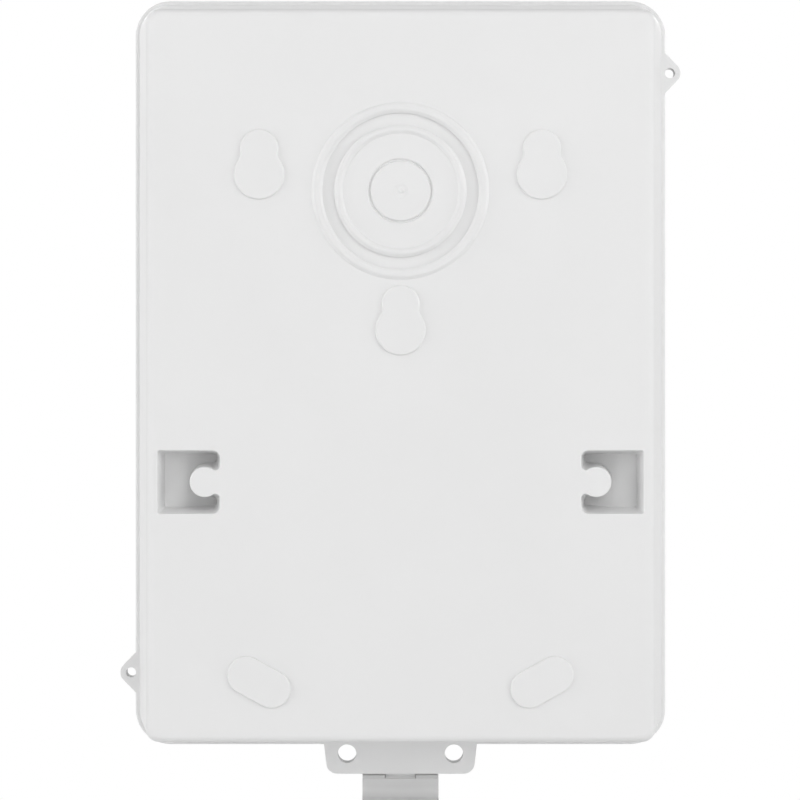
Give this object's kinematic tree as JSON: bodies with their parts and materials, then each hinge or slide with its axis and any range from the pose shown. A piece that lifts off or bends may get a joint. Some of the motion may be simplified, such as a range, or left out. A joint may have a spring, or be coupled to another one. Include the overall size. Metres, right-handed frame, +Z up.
{
  "type": "consumer unit enclosure",
  "caption": "Wall-mounted moulded enclosure for modular switchgear, with a hinged front cover, clear door, latch clip, rails and terminal bars",
  "frame": {"origin": "centre of the rear cable entry, on the wall plane that the raised blanks touch", "axes": "+Z up along the height, +Y into the wall, so that the front looks along -Y, +X to the right of someone facing the front"},
  "size_m": [0.2336, 0.1173, 0.3339],
  "materials": {
    "grey_plastic": "fine satin moulding, light grey",
    "clear_plastic": "clear polycarbonate",
    "zinc_steel": "zinc plated",
    "bright_steel": "bright",
    "dark_plastic": "satin",
    "green_plastic": "satin",
    "blue_plastic": "satin",
    "brass": "drawn"
  },
  "bodies": {
    "base": {"rear_base": "grey_plastic", "chassis_bar_left": "zinc_steel", "chassis_bar_right": "zinc_steel", "chassis_screws": "bright_steel", "upper_din_rail": "zinc_steel", "lower_din_rail": "zinc_steel", "din_rail_screws": "bright_steel", "upper_end_clamp": "dark_plastic", "lower_end_clamp": "dark_plastic", "earth_bar": "brass", "earth_bar_screws": "bright_steel", "earth_bar_holder_left": "green_plastic", "earth_bar_holder_right": "green_plastic", "neutral_bar": "brass", "neutral_bar_screws": "bright_steel", "neutral_bar_holder_left": "blue_plastic", "neutral_bar_holder_right": "blue_plastic", "bar_holder_screws": "bright_steel"},
    "cover": {"front_cover": "grey_plastic", "cover_hinge_pins": "bright_steel", "upper_blanking_strip": "grey_plastic", "lower_blanking_strip": "grey_plastic"},
    "door": {"clear_door": "clear_plastic", "door_hinge_pins": "bright_steel"},
    "latch": {"latch_clip": "grey_plastic", "latch_pin": "bright_steel"}
  },
  "joints": [
    {"name": "cover_hinge", "type": "hinge", "parent": "base", "child": "cover", "pos_m": [0, -0.0593, 0.0788], "axis": [-1, 0, 0], "range_deg": [0, 90]},
    {"name": "door_hinge", "type": "hinge", "parent": "cover", "child": "door", "pos_m": [-0.09, -0.1093, -0.0732], "axis": [0, 0, -1], "range_deg": [0, 90]},
    {"name": "latch_hinge", "type": "hinge", "parent": "base", "child": "latch", "pos_m": [0, -0.0545, -0.2428], "axis": [1, 0, 0], "range_deg": [0, 45]}
  ]
}
